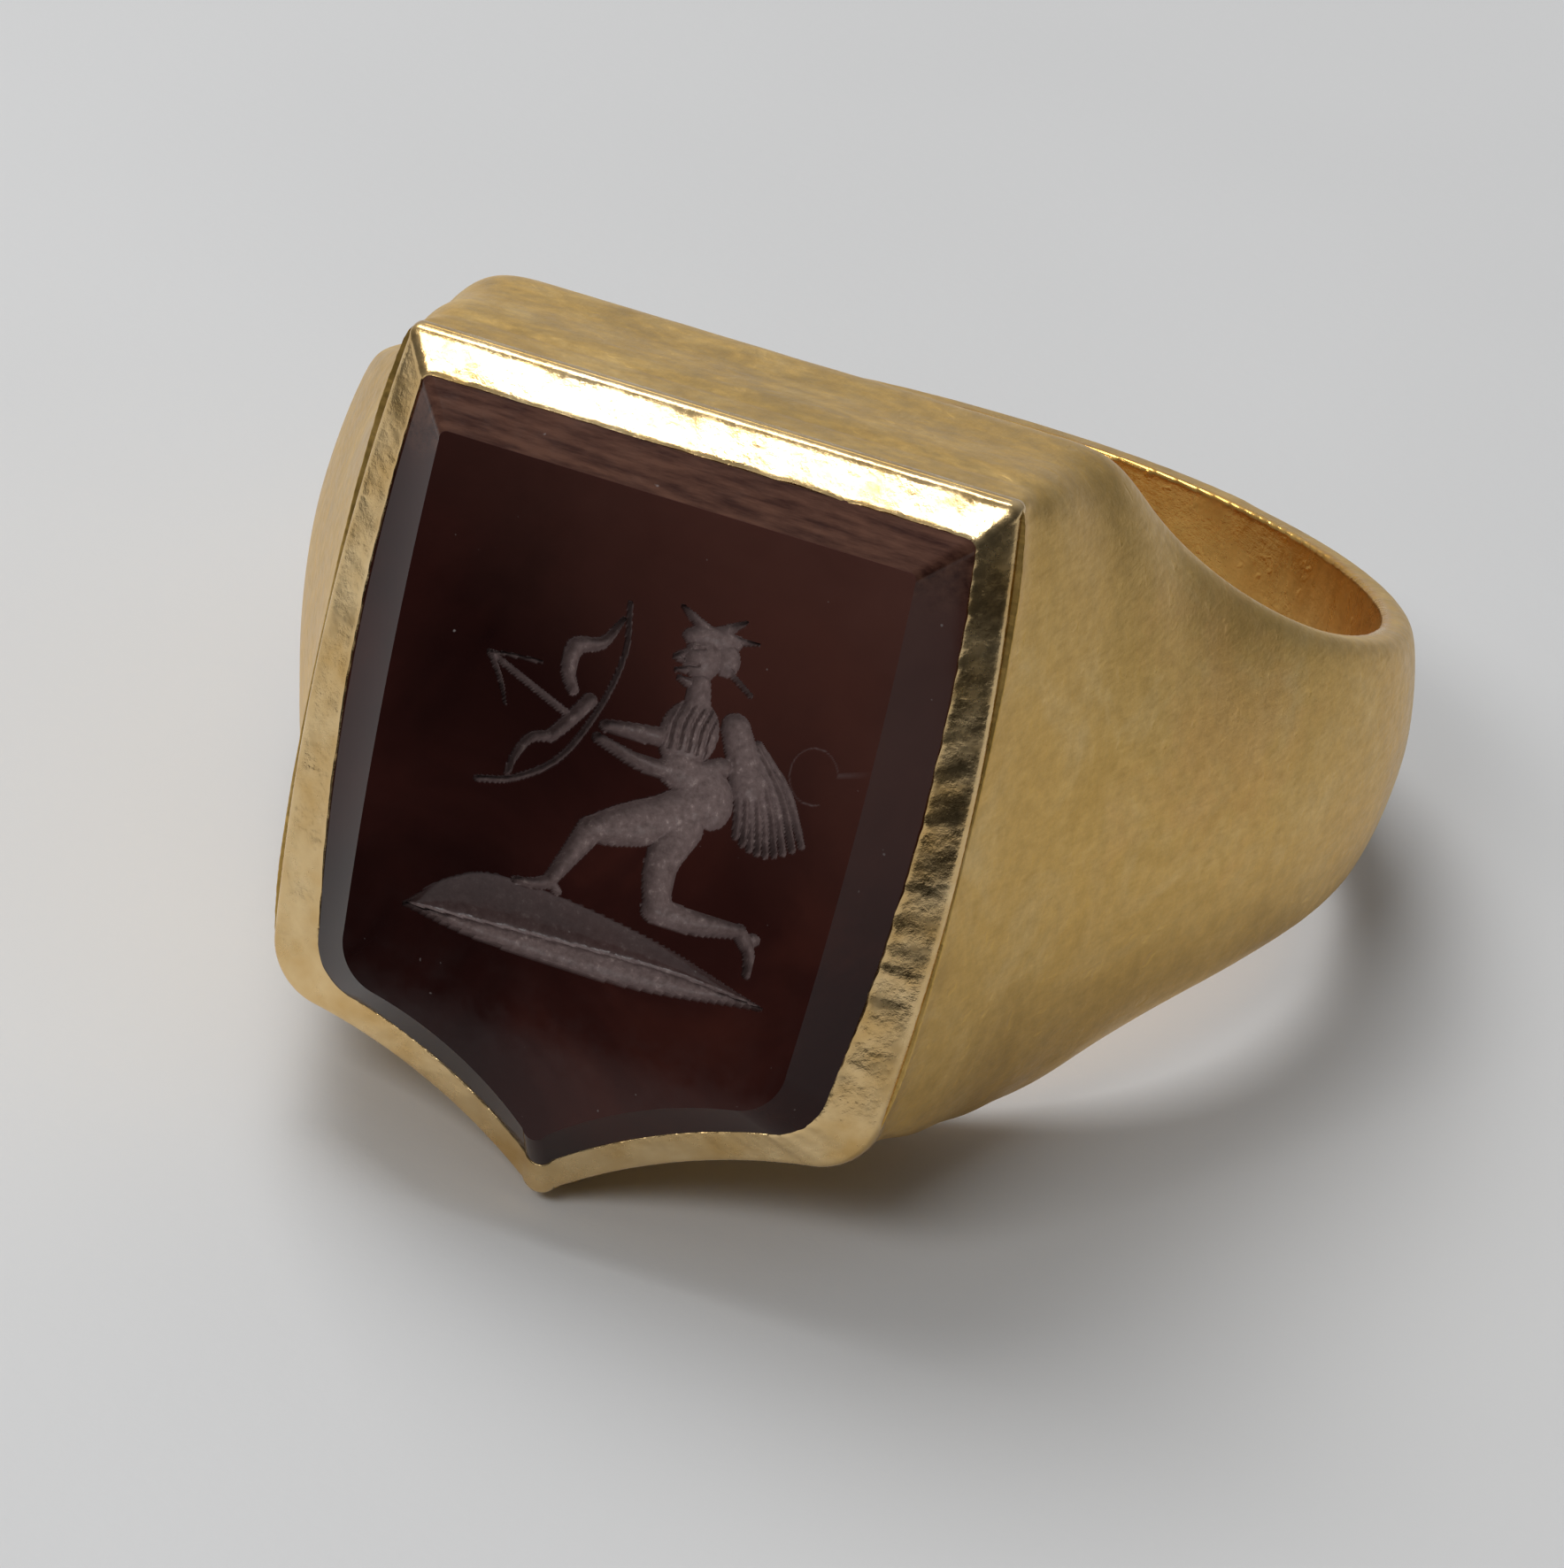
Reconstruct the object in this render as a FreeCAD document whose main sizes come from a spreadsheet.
import FreeCAD, Part
import os
from math import atan2, cos, degrees, exp, hypot, pi, radians, sin, sqrt

from FreeCAD import Placement, Rotation, Vector

# A man's gold signet ring with a shield-shaped bezel and an engraved, bevelled dark stone.
#
# Design frame, in millimetres: the finger hole's axis is Z, the face of the ring looks along -Y
# and X runs across the shield.  "Height" below always means distance from the finger hole's axis
# towards the face.  When every piece is finished the whole ring is turned about X and lifted, so
# that it lies on its side on the plane Z = 0 with the tip of the shield and the back of the band
# touching down.

SIZES = [
    ("bore_radius", 9.4, "inside radius of the finger hole"),
    ("band_radius", 10.46, "outside radius of the band at its crown"),
    ("edge_radius", 9.95, "radius of the thin rolled edges of band and shoulders"),
    ("band_up", 2.05, "band's upper edge above the axis origin, before the shoulders rise"),
    ("band_down", 1.5, "band's lower edge below the axis origin, before the shoulders drop"),
    ("face_height", 14.5, "height of the outer edge of the rubbed-over rim"),
    ("lip_height", 14.82, "height of the rim where it lies on the stone"),
    ("rim_foot", 13.4, "height of the foot of the rim strip"),
    ("pocket_floor", 12.2, "height of the floor of the stone's pocket"),
    ("seat_height", 13.2, "height of the ledge that carries the stone"),
    ("girdle_height", 14.8, "height of the stone's edge under the bevel"),
    ("table_height", 15.55, "height of the stone's flat top"),
    ("engraving_depth", 0.3, "deepest cut of the engraving below the stone's top"),
    ("rim_half", 5.92, "half width of the shield at the rim"),
    ("rim_top", 7.15, "rim top above centre"),
    ("rim_drop", 7.2, "rim tip below centre"),
    ("rim_corner", 0.93, "share of rim_half at the top corners, where the bowed sides draw in"),
    ("rim_waist", 0.955, "share of rim_half where the sides turn into the lower corners"),
    ("girdle_half", 5.22, "half width of the stone"),
    ("girdle_top", 6.5, "stone top above centre"),
    ("girdle_drop", 6.6, "stone tip below centre"),
    ("girdle_corner", 0.965, "share of girdle_half at the top corners"),
    ("girdle_waist", 0.917, "share of girdle_half where the lower corners begin"),
    ("table_half", 4.28, "half width of the stone's flat top"),
    ("table_top", 5.8, "flat top's upper edge above centre"),
    ("table_drop", 5.87, "flat top's tip below centre"),
    ("table_corner", 1.0, "share of table_half at the top corners"),
    ("table_waist", 0.955, "share of table_half where the lower corners begin"),
    ("ledge_half", 4.55, "half width of the opening inside the ledge"),
    ("ledge_top", 5.95, "ledge opening above centre"),
    ("ledge_drop", 5.85, "ledge opening below centre"),
    ("ledge_corner", 0.965, "share of ledge_half at the top corners"),
    ("ledge_waist", 0.917, "share of ledge_half where the lower corners begin"),
    ("block_base", 9.2, "height at which the underside of the head meets the finger hole"),
    ("block_half", 5.39, "half width of the head's block at its base"),
    ("block_drop", 5.4, "underside of the head's block at its base"),
    ("shoulder_half", 8.69, "half width over the shoulders at the shoulder height"),
    ("shoulder_height", 7.2, "height at which the shoulder width is given"),
    ("shoulder_up", 4.69, "rise of the shoulders' upper edge above the band's edge"),
    ("shoulder_down", 4.15, "drop of the shoulders' lower edge below the band's edge"),
    ("shoulder_lift", 1.0, "how far the shoulders' lower edge rises again towards the face"),
    ("shoulder_fade", 30.5, "angle over which the shoulders' edges fade into the band, degrees"),
]

# Heights of the outlines that head and shoulders are lofted through, closer where they turn.
SLICES = [0, 1.3, 2.8, 4.2, 5.4, 6.4, 7.2, 7.8, 8.3, 8.8, 9.4, 10.4, 11.8, 13.2]
# Radii of the soft corners between two surfaces that meet in the shoulders.
RIDGE_BLEND = 0.9
TOP_BLEND = 0.12
UNDER_BLEND = 0.3
# Angle from the face at which the shoulders' edges have their full rise and drop.
FADE_START = 33.0
# Height from which the shoulders' lower edge rises again.
LIFT_START = 8.5
# Super-ellipse exponents over the band, and what they gain towards the face.
UPPER_FULLNESS, UPPER_GAIN = 1.45, 0.75
LOWER_FULLNESS, LOWER_GAIN = 1.75, 1.0
DOME_STEPS = 14
# What the rest position reaches past the band's edge, where the band's rounding touches down.
TOUCH_REACH = 0.2
BAND_STEP = 15
LONG = 40


def make_sheet(doc):
    """The driving dimensions, one row each: name, value, meaning."""
    sheet = doc.addObject("Spreadsheet::Sheet", "Dims")
    for row, (name, value, meaning) in enumerate(SIZES, start=1):
        sheet.set("A%d" % row, name)
        sheet.set("B%d" % row, str(value))
        sheet.set("C%d" % row, meaning)
        sheet.setAlias("B%d" % row, name)
    return sheet


def at(u, v, height):
    """A point across the shield, up the shield, and out from the finger hole's axis."""
    return Vector(u, -height, v)


def shield_edges(half, top, drop, corner, waist, height, place=at):
    """The shield outline as eleven edges, clockwise from the middle of its flat top.

    Flat top with small corner rounds, bowed sides, round lower corners, and two hollow curves
    running down to a small rounded tip.  Corner and waist are shares of the half width, at the
    top corners and where the lower corners begin.
    """

    def point(across, up):
        return place(across * half, up * (top if up > 0 else drop), height)

    right = [
        [point(0.0, 1.0), point(corner - 0.03, 1.0)],
        [point(corner - 0.03, 1.0), point(corner - 0.007, 0.992), point(corner, 0.97)],
        [point(corner, 0.97), point(1.0, 0.14), point(waist, -0.56)],
        [point(waist, -0.56), point(waist - 0.052, -0.665), point(waist - 0.172, -0.717)],
        [point(waist - 0.172, -0.717), point(0.35, -0.83), point(0.05, -0.975)],
    ]

    def mirrored(p):
        return Vector(-p.x, p.y, p.z)

    tip = [point(0.05, -0.975), point(0.0, -1.0), mirrored(point(0.05, -0.975))]
    left = [[mirrored(p) for p in reversed(run)] for run in reversed(right)]
    edges = []
    for run in right + [tip] + left:
        if len(run) == 2:
            edges.append(Part.LineSegment(run[0], run[1]))
        else:
            edges.append(Part.Arc(run[0], run[1], run[2]))
    return edges


def shield_wire(half, top, drop, corner, waist, height):
    curves = shield_edges(half, top, drop, corner, waist, height)
    return Part.Wire([curve.toShape() for curve in curves])


def shield_size(sheet, name):
    """The five numbers that fix one shield outline."""
    endings = ("_half", "_top", "_drop", "_corner", "_waist")
    return [getattr(sheet, name + ending) for ending in endings]


def prism(sheet, name, low, high):
    """A straight-sided shield block between two heights."""
    wire = shield_wire(*shield_size(sheet, name), low)
    return Part.Face(wire).extrude(at(0, 0, high - low))


def taper(sheet, lower, low, upper, high):
    """A block whose outline changes from one shield to another."""
    wires = [
        shield_wire(*shield_size(sheet, lower), low),
        shield_wire(*shield_size(sheet, upper), high),
    ]
    return Part.makeLoft(wires, True, True)


def bore(sheet):
    return Part.makeCylinder(sheet.bore_radius, LONG, Vector(0, 0, -LONG / 2))


# --- head, shoulders and band -----------------------------------------------------------------


def larger(first, second, blend):
    """The larger of two numbers, with the corner between them rounded."""
    return (first + second + hypot(first - second, blend)) / 2


def smaller(first, second, blend):
    return (first + second - hypot(first - second, blend)) / 2


def crest(sheet, height):
    """Distance of the shoulder's crest from the middle plane: upright where it meets the band."""
    high, low = sheet.face_height, sheet.shoulder_height
    drop_high = sheet.band_radius - sheet.rim_half
    drop_low = sheet.band_radius - sheet.shoulder_half
    cubic = (drop_high / high**2 - drop_low / low**2) / (high - low)
    square = drop_low / low**2 - cubic * low
    return sheet.band_radius - square * height**2 - cubic * height**3


def edge_rise(sheet, angle):
    """How far the band's upper and lower edges stand from the axis origin at an angle."""
    fade = exp(-(angle - FADE_START) / sheet.shoulder_fade)
    up = sheet.band_up + sheet.shoulder_up * fade
    down = sheet.band_down + sheet.shoulder_down * fade
    return up, down


def fullness(sheet, height):
    """Super-ellipse exponents above and below the crest: low over the band, fuller at the face."""
    share = (height / sheet.face_height) ** 2
    return UPPER_FULLNESS + UPPER_GAIN * share, LOWER_FULLNESS + LOWER_GAIN * share


def dome(up, down, edge, top, bulge, place):
    """Two quarter super-ellipses over a section: upper edge, across the crest, lower edge."""
    middle = (up - down) / 2
    reach = (up + down) / 2
    points = []
    for step in range(DOME_STEPS + 1):
        turn = pi * step / DOME_STEPS
        across = cos(turn)
        power = 2 / (bulge[0] if across >= 0 else bulge[1])
        side = 1 if across >= 0 else -1
        v = middle + side * reach * abs(across) ** power
        out = edge + (top - edge) * max(sin(turn), 0) ** power
        points.append(place(out, v))
    curve = Part.BSplineCurve()
    curve.interpolate(points)
    return curve.toShape()


def head_section(sheet, height):
    """The closed outline of head and both shoulders at one height above the finger hole's axis.

    Flat above and below, with a dome at each side.  Where the finger hole has opened, the flats
    lie inside it and only the two shoulders are left.
    """
    reach = sqrt(max(sheet.edge_radius**2 - height**2, 0))
    ridge = larger(reach, sheet.block_half, RIDGE_BLEND)
    up, down = edge_rise(sheet, degrees(atan2(ridge, height)))
    up = smaller(up, sheet.rim_top, TOP_BLEND)
    down = smaller(down, sheet.block_drop, UNDER_BLEND)
    rise = max(height - LIFT_START, 0) / (sheet.face_height - LIFT_START)
    down -= sheet.shoulder_lift * rise**2
    bulge = fullness(sheet, height)

    def right(out, v):
        return at(out, v, height)

    def left(out, v):
        return at(-out, v, height)

    top = crest(sheet, height)
    return Part.Wire(
        [
            Part.makeLine(left(ridge, up), right(ridge, up)),
            dome(up, down, ridge, top, bulge, right),
            Part.makeLine(right(ridge, -down), left(ridge, -down)),
            dome(up, down, ridge, top, bulge, left),
        ]
    )


def band_section(sheet, angle):
    """The low-domed section of the band in the plane through the finger hole's axis."""
    up, down = edge_rise(sheet, min(angle, 360 - angle))
    inner = sheet.bore_radius - 1.0

    def place(radius, v):
        return at(radius * sin(radians(angle)), v, radius * cos(radians(angle)))

    return Part.Wire(
        [
            Part.makeLine(place(inner, up), place(sheet.edge_radius, up)),
            dome(up, down, sheet.edge_radius, sheet.band_radius, fullness(sheet, 0), place),
            Part.makeLine(place(sheet.edge_radius, -down), place(inner, -down)),
            Part.makeLine(place(inner, -down), place(inner, up)),
        ]
    )


def shank_shape(sheet):
    """The back half of the band, between the two solder joints beside the finger hole."""
    angles = range(90, 271, BAND_STEP)
    hoop = Part.makeLoft([band_section(sheet, angle) for angle in angles], True, False)
    return hoop.cut(bore(sheet))


def head_shape(sheet):
    """Head and both shoulders, with the finger hole and the pocket for rim, ledge and stone."""
    sections = [head_section(sheet, height) for height in SLICES + [sheet.face_height]]
    shoulders = Part.makeLoft(sections, True, False)
    base = [sheet.block_half, sheet.rim_top, sheet.block_drop, sheet.rim_corner, sheet.rim_waist]
    underside = [
        shield_wire(*base, sheet.block_base),
        shield_wire(*shield_size(sheet, "rim"), sheet.rim_foot),
    ]
    block = Part.makeLoft(underside, True, True)
    block = block.cut(Part.makeBox(LONG, LONG, LONG / 2, Vector(-LONG / 2, -LONG, 0)))
    block = block.fuse(prism(sheet, "rim", sheet.rim_foot, sheet.face_height))
    solid = shoulders.fuse(block).cut(bore(sheet))
    solid = solid.cut(prism(sheet, "rim", sheet.rim_foot, sheet.face_height + 1))
    solid = solid.cut(prism(sheet, "girdle", sheet.pocket_floor, sheet.face_height + 1))
    return solid.removeSplitter()


# --- stone and engraving ----------------------------------------------------------------------


def sunk_radius(width, depth):
    """Radius of a round tool that leaves a hollow of this width and depth."""
    return (width**2 / 4 + depth**2) / (2 * depth)


def groove(table, start, end, width, depth):
    """A straight stroke of a round tool, with rounded ends."""
    radius = sunk_radius(width, depth)
    first = Vector(start[0], -(table + radius - depth), start[1])
    last = Vector(end[0], -(table + radius - depth), end[1])
    bar = Part.makeCylinder(radius, (last - first).Length, first, last - first)
    return bar.fuse([Part.makeSphere(radius, first), Part.makeSphere(radius, last)])


def bowl(table, centre, length, width, depth, turn):
    """A leaf-shaped hollow: a long round body sunk into the table."""
    radius = sunk_radius(width, depth)
    half = radius * length / width
    outline = Part.Ellipse(Vector(0, 0, 0), half, radius)
    profile = [Part.ArcOfEllipse(outline, 0, pi).toShape()]
    profile.append(Part.makeLine(Vector(-half, 0, 0), Vector(half, 0, 0)))
    body = Part.Face(Part.Wire(profile)).revolve(Vector(0, 0, 0), Vector(1, 0, 0), 360)
    sunk = Vector(centre[0], -(table + radius - depth), centre[1])
    body.Placement = Placement(sunk, Rotation(Vector(0, -1, 0), turn))
    return body


def archer_cuts(sheet):
    """The seal device: a winged archer kneeling on a mound, cut as hollows into the table."""
    table = sheet.table_height
    deep = sheet.engraving_depth
    hollows = [
        ((0.98, 3.4), 0.76, 0.62, 0.9, 95),  # head
        ((1.02, 3.88), 0.86, 0.3, 0.6, 18),  # cap
        ((1.0, 2.12), 1.25, 0.95, 1.0, 78),  # chest
        ((1.4, 1.28), 1.05, 0.8, 0.9, 112),  # waist and hip
        ((0.62, 0.34), 1.95, 0.66, 0.9, 38),  # forward thigh
        ((1.45, -0.05), 1.75, 0.62, 0.8, 98),  # rear thigh
        ((2.1, -1.4), 1.75, 0.44, 0.7, 4),  # rear shin
        ((0.15, -2.2), 6.4, 0.85, 0.9, -1),  # mound
    ]
    strokes = [
        ((0.95, 3.0), (0.98, 2.7), 0.3, 0.6),  # neck
        ((0.55, 2.3), (-0.35, 1.66), 0.3, 0.7),  # bow arm
        ((1.25, 2.2), (1.5, 1.66), 0.3, 0.6),  # drawing arm, upper
        ((1.5, 1.62), (-0.3, 1.3), 0.24, 0.6),  # drawing arm, lower
        ((-0.3, -0.42), (-0.72, -1.35), 0.3, 0.7),  # forward shin
        ((-0.72, -1.37), (-1.15, -1.5), 0.18, 0.5),  # forward foot
        ((2.85, -1.5), (3.05, -1.85), 0.2, 0.5),  # rear foot
        ((-2.6, 2.15), (-0.4, 1.46), 0.1, 0.2),  # arrow shaft
        ((-2.6, 2.2), (-2.25, 2.3), 0.1, 0.2),  # arrow barb, upper
        ((-2.6, 2.1), (-2.45, 1.82), 0.1, 0.2),  # arrow barb, lower
        ((1.3, 3.98), (1.72, 4.28), 0.14, 0.3),  # cap plume
        ((1.35, 3.5), (1.98, 3.02), 0.14, 0.3),  # cap ribbon
    ]
    limb = [(-0.45, 3.75), (-0.42, 3.2), (-0.85, 2.75), (-0.98, 2.2), (-0.55, 1.65)]
    limb += [(-0.75, 1.1), (-1.35, 0.85), (-1.6, 0.25), (-2.25, 0.0)]
    quills = [
        ((1.9, 2.05), (3.35, 0.66)),
        ((1.95, 1.85), (3.1, 0.46)),
        ((2.0, 1.6), (2.84, 0.32)),
        ((2.0, 1.35), (2.56, 0.28)),
    ]
    cuts = []
    for centre, length, width, depth, turn in hollows:
        cuts.append(bowl(table, centre, length, width, deep * depth, turn))
    for start, end, width, depth in strokes:
        cuts.append(groove(table, start, end, width, deep * depth))
    for start, end in zip(limb, limb[1:]):
        cuts.append(groove(table, start, end, 0.15, deep * 0.4))
    for start, end in quills:
        cuts.append(groove(table, start, end, 0.17, deep * 0.4))
    return cuts


def stone_shape(sheet):
    """A bevelled shield tablet with the seal device cut into its flat top."""
    slab = prism(sheet, "girdle", sheet.seat_height, sheet.girdle_height)
    crown = taper(sheet, "girdle", sheet.girdle_height, "table", sheet.table_height)
    solid = slab.fuse(crown).removeSplitter()
    return solid.cut(archer_cuts(sheet))


# --- bodies -----------------------------------------------------------------------------------


def plane_of(body, role):
    """The body's own origin plane."""
    return [f for f in body.Origin.OriginFeatures if f.Role == role][0]


def new_body(doc, name):
    body = doc.addObject("PartDesign::Body", name)
    body.Label = name
    return body


def new_sketch(body, name, role, height=None):
    """A sketch on one of the body's planes, lifted to a height named in the sheet."""
    sketch = body.newObject("Sketcher::SketchObject", name)
    sketch.AttachmentSupport = [(plane_of(body, role), "")]
    sketch.MapMode = "FlatFace"
    if height:
        sketch.setExpression("AttachmentOffset.Base.z", "Dims." + height)
    return sketch


def flat(u, v, height):
    """The same point in the flat of a sketch."""
    return Vector(u, v, 0)


def draw_shield(sketch, sheet, name):
    for curve in shield_edges(*shield_size(sheet, name), 0, flat):
        sketch.addGeometry(curve, False)


def pad(doc, body, sheet, name, low, high):
    """A straight shield pad between two named heights."""
    sketch = new_sketch(body, body.Name + "_" + name + "_sketch", "XZ_Plane", low)
    draw_shield(sketch, sheet, name)
    feature = body.newObject("PartDesign::Pad", body.Name + "_" + name + "_pad")
    feature.Profile = sketch
    feature.setExpression("Length", "Dims.%s - Dims.%s" % (high, low))
    doc.recompute()
    return feature


def pocket(doc, body, sheet, name, low, margin):
    """A shield opening cut upwards from a named height, past the top by the margin."""
    before = body.Shape.Volume
    sketch = new_sketch(body, body.Name + "_" + name + "_opening", "XZ_Plane", low)
    draw_shield(sketch, sheet, name)
    feature = body.newObject("PartDesign::Pocket", body.Name + "_" + name + "_pocket")
    feature.Profile = sketch
    feature.Length = margin
    feature.Reversed = True
    doc.recompute()
    assert body.Shape.Volume < before, "the opening must remove material"
    return feature


def make_shank(doc, sheet):
    shank = doc.addObject("Part::Feature", "shank")
    shank.Label = "shank"
    shank.Shape = shank_shape(sheet)
    return shank


def make_head(doc, sheet):
    head = doc.addObject("Part::Feature", "head_and_shoulders")
    head.Label = "head_and_shoulders"
    head.Shape = head_shape(sheet)
    return head


def make_rim(doc, sheet):
    """The strip of gold rubbed over the stone, with its sloping polished face."""
    body = new_body(doc, "bezel_rim")
    pad(doc, body, sheet, "rim", "rim_foot", "face_height")
    lower = new_sketch(body, "rim_slope_foot", "XZ_Plane", "face_height")
    draw_shield(lower, sheet, "rim")
    upper = new_sketch(body, "rim_slope_lip", "XZ_Plane", "lip_height")
    draw_shield(upper, sheet, "girdle")
    slope = body.newObject("PartDesign::AdditiveLoft", "rim_slope")
    slope.Profile = lower
    slope.Sections = [upper]
    slope.Ruled = True
    doc.recompute()
    pocket(doc, body, sheet, "girdle", "rim_foot", 3.0)
    return body


def make_ledge(doc, sheet):
    """The bearing: a shield ring inside the pocket that carries the stone's edge."""
    body = new_body(doc, "bearing_ledge")
    pad(doc, body, sheet, "girdle", "pocket_floor", "seat_height")
    pocket(doc, body, sheet, "ledge", "pocket_floor", 3.0)
    return body


def make_bedding(doc, sheet):
    """The setter's cement that fills the pocket under the stone."""
    body = new_body(doc, "bedding_cement")
    pad(doc, body, sheet, "ledge", "pocket_floor", "seat_height")
    return body


def make_stone(doc, sheet):
    stone = doc.addObject("Part::Feature", "intaglio_stone")
    stone.Label = "intaglio_stone"
    stone.Shape = stone_shape(sheet)
    return stone


def rest_placement(sheet, objects):
    """Lay the ring on its side: the shield's tip and the back of the band on the plane Z = 0."""
    rise = sheet.rim_drop - sheet.band_down
    reach = sheet.rim_foot + sheet.edge_radius + TOUCH_REACH
    turn = Rotation(Vector(1, 0, 0), -degrees(atan2(rise, reach)))
    posed = Part.makeCompound([part.Shape.copy() for part in objects])
    posed.Placement = Placement(Vector(0, 0, 0), turn)
    box = posed.optimalBoundingBox(False)
    shift = Vector(-box.Center.x, -box.Center.y, -box.ZMin)
    return Placement(shift, turn)


def check_and_export(doc, objects):
    """Stop on anything broken, then write one STEP file for each piece."""
    for item in doc.Objects:
        bad = [word for word in item.State if word in ("Invalid", "Error")]
        assert not bad, "%s is %s" % (item.Label, bad)
    for item in objects:
        shape = item.Shape
        assert not shape.isNull() and shape.isValid(), item.Label + " is not a valid shape"
        assert len(shape.Solids) == 1, item.Label + " is not one solid"
        shape.exportStep("parts/%s.step" % item.Label)
        print("%-20s volume %8.2f mm3" % (item.Label, shape.Volume))


os.makedirs("parts", exist_ok=True)
document = FreeCAD.newDocument("signet_ring")
dims = make_sheet(document)
document.recompute()
makers = (make_shank, make_head, make_rim, make_ledge, make_bedding, make_stone)
pieces = [make(document, dims) for make in makers]
document.recompute()
resting = rest_placement(dims, pieces)
for piece in pieces:
    piece.Placement = resting
document.recompute()
print("rest placement", resting)
check_and_export(document, pieces)
